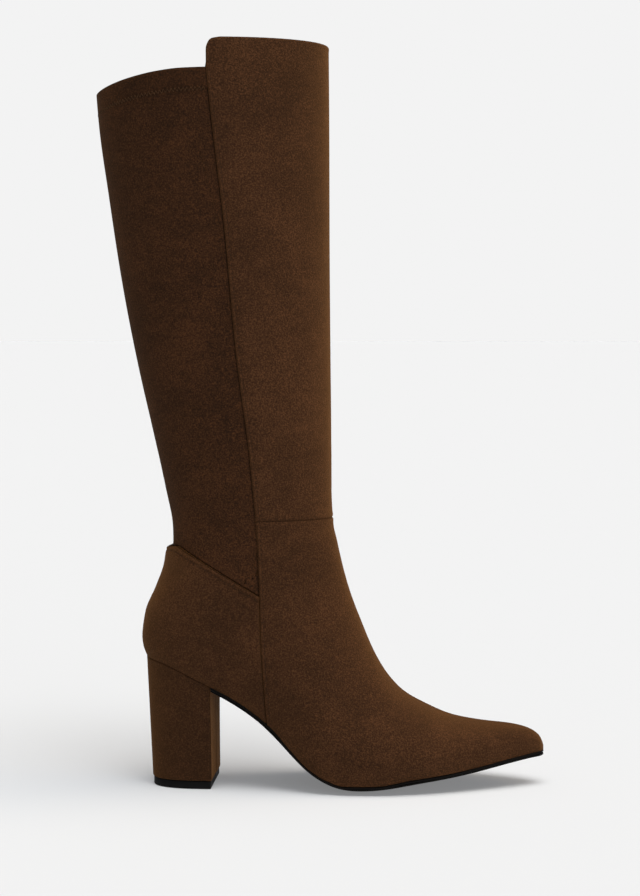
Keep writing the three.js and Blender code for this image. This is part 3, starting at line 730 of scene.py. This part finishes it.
def cloth_piece(name, place, raised, material, slot, replaces, seam_mm, shade=1.0):
    """Puts a piece of cloth on the form, raised along its normals, with its edges turned in."""
    base, normal = on_form(place)
    lifted = base + normal * (raised + creases(base))[..., None]
    rows, columns = place.shape[:2]
    order = np.arange(rows * columns).reshape(rows, columns)
    rim = np.concatenate([order[0], order[1:, -1], order[-1, -2::-1], order[-2:0:-1, 0]])
    flat, flat_normal = lifted.reshape(-1, 3), normal.reshape(-1, 3)
    inner = flat[rim] - flat_normal[rim] * TURNED_IN
    rim_row, rim_side = place.reshape(-1, 2)[rim].T
    on_sole = (np.abs(rim_side) > 0.9995) & (rim_row < HEEL_BACK_ROW)
    inward = np.stack([0 * rim, -np.sign(rim_side), 0 * rim], 1)
    inner[on_sole] = (flat[rim] + inward * TURNED_IN)[on_sole]
    count = len(flat)
    around = np.arange(len(rim))
    skirt = np.stack([rim, count + around, count + np.roll(around, -1), np.roll(rim, -1)], 1)
    inside_out = (np.cross(np.gradient(lifted, axis=1), np.gradient(lifted, axis=0)) * normal).sum() < 0
    faces = [*grid_faces(rows, columns, turned=inside_out), *(skirt if inside_out else skirt[:, ::-1])]
    # seam_mm sets how far painted shade darkens the cloth into its seams, and shade paints the whole piece
    # darker
    near = np.append(seam_mm.ravel(), seam_mm.ravel()[rim])
    nap = {"seam_mm": near, "painted_shade": np.full(len(near), shade)}
    return make_mesh(name, np.vstack([flat, inner]), faces, material, slot, replaces, **nap)


counter_z = curve_through(COUNTER_LINE)


def joined_round_back(lateral, medial):
    """Two halves of a piece, each from its side seam to the back line, as one grid."""
    return np.concatenate([lateral, medial[:, ::-1][:, 1:]], axis=1)


def side_rows(side, low, high, count):
    """Places along the sole's edge or the back line, on one side."""
    rows = np.linspace(low, high, count)
    return np.stack([rows, 0 * rows + side], 1)


TOPSTITCH = 2.2
BACK_DEPTH = 1.15
RIDGE = 0.35
HALF_ROUND, BACK_TALL = 105, 280
halves = []
side_seams = {}


def from_both(points, key):
    """Distance of each point from a line and its twin on the other side."""
    return distance_from(points, side_seams[-1][key], side_seams[1][key])


for side in (-1, 1):
    seam = seam_curve(side)
    low, high = cut_at(seam, counter_z)
    back_part = cut_at(high, level(COLLAR_BACK[-1][1]))[0]
    line = slanted_line(side, counter_z, low[-1])
    hem = round_back_line(side, hem_z, back_part[-1])
    back_line = side_rows(side, line[-1, 0], hem[-1, 0], 60)
    side_seams[side] = {"whole": seam, "counter": low, "line": line, "hem": hem, "back": back_part}
    across = spacing(HALF_ROUND, 1.4, fine_end=False)
    halves.append(patch(line, hem, back_part, back_line, across, spacing(BACK_TALL, 1.4)))
back_place = joined_round_back(*halves)
back_base = on_form(back_place)[0]
from_side = from_both(back_base, "back")
from_line = from_both(back_base, "line")
toward_back = rear_share(back_base, -50, 35)
back_raised = (
    -BACK_DEPTH
    - 0.3 * bump_at(from_side, 0, 1.2)
    - 0.5 * bump_at(from_line, 0, 0.5)
    + RIDGE * bump_at(from_line, 1.2, 0.8) * (1 - toward_back)
    - 0.8 * toward_back * bump_at(from_line, 0, 6)
)
# painted shade into the side seams and the slanted seam
near = np.minimum(from_side, from_line)
cloth_piece("back_leg", back_place, back_raised, stretch_suede, "stretch_suede", ["leg"], near)


# Back hem
# The collar's back edge is folded over an elastic and sewn with a zigzag, so the cloth gathers under it.

HEM_DEPTH = 12.0
HEM_FOLD = 0.5
HEM_REAR = (-104, 24)


def zigzag_z(x):
    return hem_z(x) - HEM_DEPTH


hem_halves = []
for side in (-1, 1):
    parts = side_seams[side]
    top = parts["hem"]
    edge_low, edge_high = cut_at(parts["back"], zigzag_z)
    bottom = round_back_line(side, zigzag_z, edge_low[-1])
    back_line = np.vstack([bottom[-1:], top[-1:]])
    parts["zigzag"] = bottom
    across = spacing(HALF_ROUND, 0.7, fine_end=False)
    hem_halves.append(patch(bottom, top, edge_high, back_line, across, spacing(HEM_DEPTH, 0.5)))
hem_place = joined_round_back(*hem_halves)
hem_base = on_form(hem_place)[0]
from_top = from_both(hem_base, "hem")
from_zigzag = from_both(hem_base, "zigzag")
around_hem = travel_of(hem_base[len(hem_base) // 2])[None, :]


def gathers(travel):
    """Small uneven folds along the hem, about 4.6 mm apart."""
    folds = np.sin(travel / 4.6 * 2 * math.pi + 1.3 * np.sin(travel / 23))
    return folds * (0.6 + 0.4 * np.sin(travel / 9.7))


hem_at_back = rear_share(hem_base, *HEM_REAR)
hem_raised = (
    -BACK_DEPTH
    + HEM_FOLD * turned(from_zigzag, 2.5) * (1 - hem_at_back)
    - (1.3 + 1.2 * hem_at_back) * (1 - turned(from_top, 1.1 + 3.4 * hem_at_back))
    - 0.4 * hem_at_back
    + 0.3 * gathers(around_hem) * bump_at(from_zigzag, 0, 4)
)
# painted shade into the hem's top edge and the side seams, and over the whole hem, which is painted darker
# than the leg below
near = np.minimum(from_top * 1.2, from_both(hem_base, "back")) + 0.4
hem_cloth = (stretch_suede, "stretch_suede")
cloth_piece("back_hem", hem_place, hem_raised, *hem_cloth, ["back_cuff"], near, shade=0.86)


# Vamp
# One piece of microsuede over the whole front of the foot, lasted over the sole's edge, with its rear edges
# lapped over the heel quarter and the back leg.

ankle_z = level(INSTEP_HEIGHT)
vamp_sides = {}
for side in (-1, 1):
    seam = side_seams[side]["whole"]
    low, high = cut_at(seam, ankle_z)
    vamp_sides[side] = np.vstack([side_rows(side, 0, low[0, 0], 240)[:-1], low])
    side_seams[side].update(vamp=low, front=high)


def front_line(height_at, sides):
    """The line with that height over the front, between the upper ends of two side edges."""
    line = level_curve(height_at, sides[-1][-1, 1], sides[1][-1, 1])
    return np.vstack([sides[-1][-1:], line, sides[1][-1:]])


ankle = front_line(ankle_z, vamp_sides)
toe = np.stack([np.zeros(41), np.linspace(-1, 1, 41)], 1)
ROUND_FOOT, FOOT_LONG = 210, 300
across, up = spacing(ROUND_FOOT, 1.25), spacing(FOOT_LONG, 1.25)
vamp_place = patch(toe, ankle, vamp_sides[-1], vamp_sides[1], across, up)
vamp_base = on_form(vamp_place)[0]
from_seam = from_both(vamp_base, "vamp")
from_ankle = distance_from(vamp_base, ankle)


def lapped_edge(distance):
    """A turned edge on the cloth below, full over the turned strip and drawn in along the stitches."""
    return (
        -BACK_DEPTH * (1 - turned(distance, 0.9))
        + 0.28 * bump_at(distance, 1.0, 0.7)
        - 0.18 * bump_at(distance, TOPSTITCH, 0.45)
    )


def closed_seam(distance):
    """Two cloths sewn face to face and pressed open: a fine ditch between two faint ridges."""
    return -0.55 * bump_at(distance, 0, 0.5) + 0.14 * bump_at(distance, 1.7, 1.0)


vamp_raised = lapped_edge(from_seam) + closed_seam(from_ankle)
# painted shade into the side seams, the ankle seam and the stitch line, and the whole vamp painted a little
# darker
near = np.minimum(np.minimum(from_seam, from_ankle), np.abs(from_seam - TOPSTITCH) + 0.55)
cloth_piece("foot_front", vamp_place, vamp_raised, suede, "suede", ["vamp"], near, shade=0.94)


# Heel quarter
# The counter: microsuede over a moulded stiffener, so it is smooth and firm, and its top edge stands off
# the soft leg at the back.

PROUD = 0.45
COUNTER_REAR = (-48, 38)
QUARTER_LONG, QUARTER_TALL = 95, 85
LINE_DITCH = 2.7
quarter_halves = []
for side in (-1, 1):
    parts = side_seams[side]
    low = parts["counter"]
    seat = side_rows(side, low[0, 0], HEEL_BACK_ROW, 200)
    back_line = side_rows(side, HEEL_BACK_ROW, parts["line"][-1, 0], 60)
    across = spacing(QUARTER_LONG, 1.1, fine_end=False)
    quarter_halves.append(patch(seat, parts["line"], low, back_line, across, spacing(QUARTER_TALL, 1.1)))
quarter_place = joined_round_back(*quarter_halves)
quarter_base = on_form(quarter_place)[0]
from_side = from_both(quarter_base, "counter")
from_line = from_both(quarter_base, "line")
above_sole = np.clip((quarter_base[..., 2] - sole_at("edge", quarter_base[..., 0])) / 5, 0, 1)
toward_back = rear_share(quarter_base, *COUNTER_REAR)
quarter_raised = (
    (PROUD + 0.9 * toward_back * bump_at(from_line, 2, 8)) * above_sole
    - (1.0 + 1.6 * toward_back) * (1 - turned(from_line, 1.0 + 1.8 * toward_back))
    + 0.3 * bump_at(from_line, 1.3, 0.8)
    - 0.4 * bump_at(from_line, LINE_DITCH, 0.5)
    - (BACK_DEPTH + 0.5) * (1 - turned(from_side, 1.6))
)
# painted shade into the side seams, the slanted seam and its ditch, and the whole counter painted darker,
# as it is low down
near = np.minimum(np.minimum(from_side, from_line), np.abs(from_line - LINE_DITCH) + 0.3)
cloth_piece("heel_quarter", quarter_place, quarter_raised, suede, "suede", ["counter"], near, shade=0.85)


# Front leg
# The front of the leg, from the ankle seam to the collar. Its rear edges are turned and stitched down over
# the back leg, and stand free above the hem, where the top corners are rounded.

CORNER_START_Z = FRONT_CORNER[1][1]
below_corner = level(CORNER_START_Z)
front_sides = {side: cut_at(side_seams[side]["front"], below_corner)[0] for side in (-1, 1)}
collar = front_line(front_top, front_sides)
ROUND_LEG, FRONT_TALL = 175, 273
across, up = spacing(ROUND_LEG, 1.25), spacing(FRONT_TALL, 1.25)
front_place = patch(ankle, collar, front_sides[-1], front_sides[1], across, up)
front_base = on_form(front_place)[0]
from_seam = distance_from(front_base, front_sides[-1], front_sides[1])
from_ankle = distance_from(front_base, ankle)
from_collar = distance_from(front_base, collar)
front_raised = (
    lapped_edge(from_seam)
    + closed_seam(from_ankle)
    - 1.0 * (1 - turned(from_collar, 0.8))
    + 0.15 * bump_at(from_collar, 1.4, 1.0)
)
# painted shade into the side seams, the ankle seam, the collar edge and the stitch line
near = np.minimum(np.minimum(from_seam, from_ankle), from_collar + 0.5)
near = np.minimum(near, np.abs(from_seam - TOPSTITCH) + 0.55)
cloth_piece("front_leg", front_place, front_raised, suede, "suede", ["shaft_front"], near)


# Stitching
# Dark brown polyester thread. A straight row holds the turned edge down along each side seam and below the
# slanted seam, and a zigzag holds the back hem.

THREAD = 0.34
STITCH = 2.6
THREAD_SIDES = 6


def make_thread(name, dark, light):
    """Twisted polyester thread: a faint satin on each stitch, with the twist too fine to see."""
    made, tree = new_material(name)
    place = add_node(tree, "TexCoord").outputs["Object"]
    twist = noise(tree, place, 0.5, 1.0)
    colour = ramp(tree, twist, ((0.35, dark), (0.65, light)))
    surface(tree, colour, dented(tree, twist, 0.4, 0.0001), roughness=0.8, specular=0.1)
    return made


thread = make_thread("brown_polyester_thread", "#1f1209", "#382314")


def stitches(name, rows_of_them, radius, sink, material):
    """Each stitch is a short bowed thread that goes into the cloth at both ends, all in one mesh."""
    starts, ends, out = (np.vstack(parts) for parts in zip(*rows_of_them))
    steps = np.linspace(0, 1, 5)
    bow = np.sin(steps * math.pi)
    spine = starts[:, None] * (1 - steps[:, None]) + ends[:, None] * steps[:, None]
    spine = spine + out[:, None] * (radius * 0.9 * bow - sink * (1 - bow))[None, :, None]
    beside = np.cross(units(ends - starts), out)
    angles = np.linspace(0, 2 * math.pi, THREAD_SIDES, endpoint=False)
    cosine, sine = np.cos(angles)[:, None], np.sin(angles)[:, None]
    round_it = cosine * beside[:, None, None] + sine * out[:, None, None]
    width = radius * (0.55 + 0.45 * bow)
    points = spine[:, :, None] + round_it * width[None, :, None, None]
    count, rows, columns = points.shape[:3]
    one_stitch = grid_faces(rows, columns, turned=True, closed=True)
    faces = (one_stitch[None] + (np.arange(count) * rows * columns)[:, None, None]).reshape(-1, 4)
    return make_mesh(name, points, faces, material, "thread")


def stitch_row(curve, raised, start=0.0):
    """Ends and outward directions of the stitches along a line, with a small gap between them."""
    travel = travel_of(on_form(curve)[0])[-1]
    places = np.arange(start, travel - STITCH, STITCH)
    ends = []
    for shift in (0.12, 0.88):
        base, normal = on_form(along(curve, (places + shift * STITCH) / travel))
        ends.append(base + normal * (creases(base) + raised)[:, None])
    return ends[0], ends[1], normal


def under_z(x):
    return counter_z(x) - 3.0


rows_of_stitches = []
for side in (-1, 1):
    lower, upper = cut_at(seam_curve(side, ahead=TOPSTITCH), level(CORNER_START_Z - 3))
    rows_of_stitches.append(stitch_row(lower, -0.1, 4.0))
    low = cut_at(seam_curve(side), under_z)[0]
    under = slanted_line(side, under_z, low[-1])
    away = rear_share(on_form(under)[0], *COUNTER_REAR).max()
    rows_of_stitches.append(stitch_row(under, PROUD + 0.1 + 0.45 * away, 1.0))
stitches("seam_stitches", rows_of_stitches, THREAD / 2, 0.25, thread)

hem_thread = make_thread("light_brown_polyester_thread", "#2f1f12", "#513924")

HEM_THREAD = 1.2 * THREAD
ZIGZAG_WIDE = 2.4
ZIGZAG_STEP = 1.15
zigzag_parts = []
for side in (-1, 1):
    curve = side_seams[side]["zigzag"]
    travel = travel_of(on_form(curve)[0])[-1]
    places = np.arange(1.5, travel, ZIGZAG_STEP)
    base, normal = on_form(along(curve, places / travel))
    across = units(np.cross(np.gradient(base, axis=0), normal))
    at_rear = rear_share(base, *HEM_REAR)
    swing = np.where(np.arange(len(places)) % 2, 1, -1)[:, None] * ZIGZAG_WIDE / 2
    raised = creases(base) - BACK_DEPTH + HEM_FOLD * 0.75 * (1 - at_rear) + 0.2 - 0.4 * at_rear
    corner = base + across * swing + normal * raised[:, None]
    zigzag_parts.append((corner[:-1], corner[1:], normal[:-1]))
stitches("hem_zigzag", zigzag_parts, HEM_THREAD / 2, 0.1, hem_thread)


# Outsole
# A thin black rubber sole, cut flush with the feather edge, level under the ball and sprung at the toe,
# with a fine ribbed tread moulded in its underside.


def make_rubber(name, dark, light, grain, ribbed):
    """Moulded rubber: nearly black, with a dull satin face and a fine grain, scuffed grey in places, and
    where it is ribbed, 3.2 mm ribs on the faces that look down."""
    made, tree = new_material(name)
    place = add_node(tree, "TexCoord").outputs["Object"]
    scuff = noise(tree, place, 7, 6.0, Roughness=0.7)
    profile = {"wave_profile": "TRI"}
    scale = per_mm(3.2) / 20
    ribs = add_node(tree, "TexWave", profile, Vector=place, Scale=scale, Distortion=0.0)
    normal = add_node(tree, "NewGeometry").outputs["Normal"]
    height = add_node(tree, "SeparateXYZ", i0=normal).outputs["Z"]
    below = between(tree, height, -0.6, -0.8, 0.0, ribbed)
    tread = math_node(tree, "MULTIPLY", ribs.outputs["Fac"], below)
    rough = between(tree, scuff, 0.3, 0.7, 0.5, 0.72)
    colour = ramp(tree, scuff, ((0.45, dark), (0.8, light)))
    relief = dented(tree, summed(tree, noise(tree, place, grain, 2.0), 0.12, tread), 0.7, 0.0006)
    surface(tree, colour, relief, rough, specular=0.08)
    return made


sole_rubber = make_rubber("black_moulded_sole_rubber", "#050404", "#0e0c0b", 0.8, 1.0)
outsole_x = np.append(
    TOE_TIP_X - (1 - np.cos(np.linspace(0, math.pi / 2, 26))) * 6,
    np.linspace(TOE_TIP_X - 6, BREAST_X + GAP, 180)[1:],
)
SOLE_EDGE = 0.5


def drawn_out(x):
    """The underside's height with its two bends at the ball drawn out into one long curve."""
    return sum(sole_at("tread", x + shift) for shift in (-9, -4.5, 0, 4.5, 9)) / 5 - 0.3


outsole_points, outsole_faces = slab(
    outsole_x, outsole_x, SOLE_EDGE, -GAP, -GAP - OUTSOLE, np.linspace(-1, 1, 61), 0.7
)
underside = outsole_points[len(outsole_points) // 2 :]
x = underside[:, 0]
underside[:, 2] = np.maximum(underside[:, 2] + drawn_out(x) - sole_at("tread", x), 0)
make_mesh("thin_sole", outsole_points, outsole_faces, sole_rubber, "sole_rubber", ["outsole"])


# Block heel
# A moulded block, wrapped in the same microsuede. The wrap is folded round the two breast corners and
# closed by an overlap down the middle of the breast.

LIFT_HEIGHT = 4.6
HEEL_FOOT = {"back": -98.4, "breast": -61.5, "half": 24.5}
HEEL_TALL = 70
FOOT_ROUNDNESS = 2.8
D_STEPS = 70
BREAST_STEPS = 40


def heel_outline(back, breast, half, roundness):
    """A D-shaped outline, counted from one breast corner round the back, then across the breast."""
    angle = np.linspace(-math.pi / 2, math.pi / 2, 2 * D_STEPS + 1)
    power = 2 / roundness
    x = breast - (breast - back) * np.cos(angle) ** power
    y = half * np.sign(angle) * np.abs(np.sin(angle)) ** power
    across = np.linspace(half, -half, BREAST_STEPS + 2)[1:-1]
    return np.append(x, 0 * across + breast), np.append(y, across)


def rounded_corners(x, y, radius=0.9):
    """The outline with its two breast corners rounded, by evening it out over a short length."""
    points = np.stack([x, y], 1)
    closed = np.vstack([points, points[:1]])
    travel = travel_of(closed)
    even = np.linspace(0, travel[-1], 400, endpoint=False)
    ring = read_along(closed, travel, even)
    reach = max(int(radius / travel[-1] * 400 * 1.6), 1)
    kernel = np.hanning(2 * reach + 3)[1:-1]
    padded = np.vstack([ring[-reach:], ring, ring[:reach]])
    return np.stack([np.convolve(padded[:, k], kernel / kernel.sum(), "valid") for k in (0, 1)], 1)


def stacked(rings):
    """Points and faces of a closed body from its rings, the lowest first."""
    points = np.array(rings)
    rows, columns = points.shape[:2]
    ring = np.arange(columns)
    caps = [ring.tolist(), ((rows - 1) * columns + ring)[::-1].tolist()]
    return points, grid_faces(rows, columns, turned=True, closed=True).tolist() + caps


heel_rings = []
seat_half = sole_at("lateral", BREAST_X) - GAP
for share in spacing(HEEL_TALL, 1.0):
    back = HEEL_FOOT["back"] + share * (sole_x[0] - HEEL_FOOT["back"])
    breast = HEEL_FOOT["breast"] + share * (BREAST_X - HEEL_FOOT["breast"])
    half = HEEL_FOOT["half"] + share**2 * (seat_half - HEEL_FOOT["half"])
    roundness = FOOT_ROUNDNESS + share * (SEAT_ROUNDNESS - FOOT_ROUNDNESS)
    ring = rounded_corners(*heel_outline(back, breast, half, roundness))
    top = seat_height(ring[:, 0], ring[:, 1]) - GAP
    bottom = LIFT_HEIGHT + GAP
    z = bottom + share * (top - bottom)
    out = units(ring - ((breast + back) / 2, 0))
    edge = np.minimum(share, 1 - share) * HEEL_TALL
    inset = 0.5 * (1 - turned(np.array(edge), 0.8))
    on_breast = np.clip((ring[:, 0] - breast + 1.5) / 1.5, 0, 1)
    overlap = 0.28 * on_breast * (1 / (1 + np.exp(-(ring[:, 1] - 1.5) / 0.25))) * (ring[:, 1] < 20)
    ring = ring - out * inset
    ring[:, 0] += overlap
    heel_rings.append(np.column_stack([ring, z]))
heel_points, heel_faces = stacked(heel_rings)
# painted shade into the breast corners and along the overlap, and the whole heel painted much darker, as it
# is low down
corner_far = np.minimum(
    np.hypot(heel_points[..., 0] - BREAST_X, np.abs(heel_points[..., 1]) - HEEL_FOOT["half"]) + 0.6, 9
)
near_overlap = np.where(heel_points[..., 0] > BREAST_X - 1, np.abs(heel_points[..., 1] - 1.5) + 0.3, 9)
heel_seam = np.minimum(corner_far, near_overlap).ravel()
nap = {"seam_mm": heel_seam, "painted_shade": np.full(len(heel_seam), 0.66)}
make_mesh("block_heel", heel_points, heel_faces, suede, "suede", ["heel"], **nap)


# Heel lift
# The top piece: a slab of hard black rubber nailed under the heel, trimmed just inside it.

lift_rubber = make_rubber("charcoal_lift_rubber", "#0a0a0a", "#171718", 1.0, 0.0)
LIFT_INSET = 0.6
lift_back, lift_breast = HEEL_FOOT["back"] + LIFT_INSET, HEEL_FOOT["breast"] - LIFT_INSET
lift_outline = heel_outline(lift_back, lift_breast, HEEL_FOOT["half"] - LIFT_INSET, FOOT_ROUNDNESS)
lift_outline = rounded_corners(*lift_outline, radius=0.6)
lift_rings = []
out = units(lift_outline - lift_outline.mean(0))
for z, inset in ((0, 0.4), (0.12, 0.15), (0.4, 0), (LIFT_HEIGHT - 0.3, 0), (LIFT_HEIGHT, 0.25)):
    lift_rings.append(np.column_stack([lift_outline - out * inset, np.full(len(lift_outline), z)]))
lift_points, lift_faces = stacked(lift_rings)
make_mesh("heel_lift_piece", lift_points, lift_faces, lift_rubber, "lift_rubber", ["heel_lift"])


# Floor, light and camera
# A plain pale floor without an end, a weak light all round with three soft ones: from the front and right,
# from above, and a warm one from behind. The camera is the photograph's: as high as the middle of the leg,
# looking down by three degrees and turned by about as much.

# Each soft light: where it comes from, over how many degrees it fades, its colour and its strength
LIGHTS = (
    ((0.56, -0.82, -0.12), 34, "#fffaf4", 7.1),
    ((0.14, -0.2, 1.0), 30, "#fff8ea", 7.6),
    ((0.7, 0.15, 0.7), 26, "#ffd7a0", 1.6),
)
ALL_ROUND = 0.2
BACKDROP = 0.896
GLOW = 0.18


def light_on_floor():
    """The light that reaches the open floor, where 1 shows a white floor as white."""
    up = np.sqrt((np.arange(4000) + 0.5) / 4000)
    turn = np.arange(4000) * math.pi * (3 - math.sqrt(5))
    flat = np.sqrt(1 - up**2)
    sky = np.stack([flat * np.cos(turn), flat * np.sin(turn), up], 1)
    total = np.full(3, ALL_ROUND)
    for toward, spread, colour, strength in LIGHTS:
        edge = math.cos(math.radians(spread))
        share = np.clip((sky @ units(np.array(toward)) - edge) / (1 - edge), 0, 1)
        total = total + (share**2 * (3 - 2 * share)).mean() * strength * np.array(linear(colour)[:3])
    return total


floor_paint, tree = new_material("matt_floor")
floor_colour = (*((BACKDROP - GLOW) / light_on_floor()), 1)
floor_shader = add_node(tree, "BsdfDiffuse", Color=floor_colour, Roughness=0.0)
glow = add_node(tree, "Emission", Strength=GLOW)
lit = add_node(tree, "AddShader", i0=floor_shader.outputs[0], i1=glow.outputs[0])
add_node(tree, "OutputMaterial", Surface=lit.outputs[0])
FLOOR_SIZE = 60.0
floor_mesh = bpy.data.meshes.new("floor")
corners = [(x * FLOOR_SIZE, y * FLOOR_SIZE, -0.0001) for x, y in ((-1, -1), (1, -1), (1, 1), (-1, 1))]
floor_mesh.from_pydata(corners, [], [(0, 1, 2, 3)])
floor_mesh.materials.append(floor_paint)
floor = put_in_scene("floor", floor_mesh)

world = bpy.data.worlds.new("studio")
bpy.context.scene.world = world
world.use_nodes = True
tree = world.node_tree
tree.nodes.clear()
direction = add_node(tree, "TexCoord").outputs["Generated"]
total = add_node(tree, "Background", Color=linear("#ffffff"), Strength=ALL_ROUND).outputs[0]
for toward, spread, colour, strength in LIGHTS:
    toward = tuple(units(np.array(toward)))
    facing = add_node(tree, "VectorMath", {"operation": "DOT_PRODUCT"}, i0=direction, i1=toward)
    edge = math.cos(math.radians(spread))
    fade = between(tree, facing.outputs["Value"], edge, 1.0, 0.0, strength, "SMOOTHSTEP")
    light = add_node(tree, "Background", Color=linear(colour), Strength=fade)
    total = add_node(tree, "AddShader", i0=total, i1=light.outputs[0]).outputs[0]
seen = add_node(tree, "Background", Color=(BACKDROP, BACKDROP, BACKDROP, 1), Strength=1.0)
to_camera = add_node(tree, "LightPath").outputs["Is Camera Ray"]
both = add_node(tree, "MixShader", i0=to_camera, i1=total, i2=seen.outputs[0])
add_node(tree, "OutputWorld", Surface=both.outputs[0])

CAMERA_TARGET = np.array([0, 0, 0.1974])
CAMERA_FAR = 1.3
azimuth, elevation = math.radians(3.4), math.radians(3.0)
back_away = np.array(
    [math.sin(azimuth) * math.cos(elevation), -math.cos(azimuth) * math.cos(elevation), math.sin(elevation)]
)
camera_data = bpy.data.cameras.new("camera")
camera_data.sensor_width = 36
camera_data.lens = 2222 * 36 / 896
camera = put_in_scene("camera", camera_data)
camera.location = CAMERA_TARGET + back_away * CAMERA_FAR
camera.rotation_euler = (math.pi / 2 - elevation, 0, azimuth)
bpy.context.scene.camera = camera
bpy.context.scene.view_settings.view_transform = "Standard"
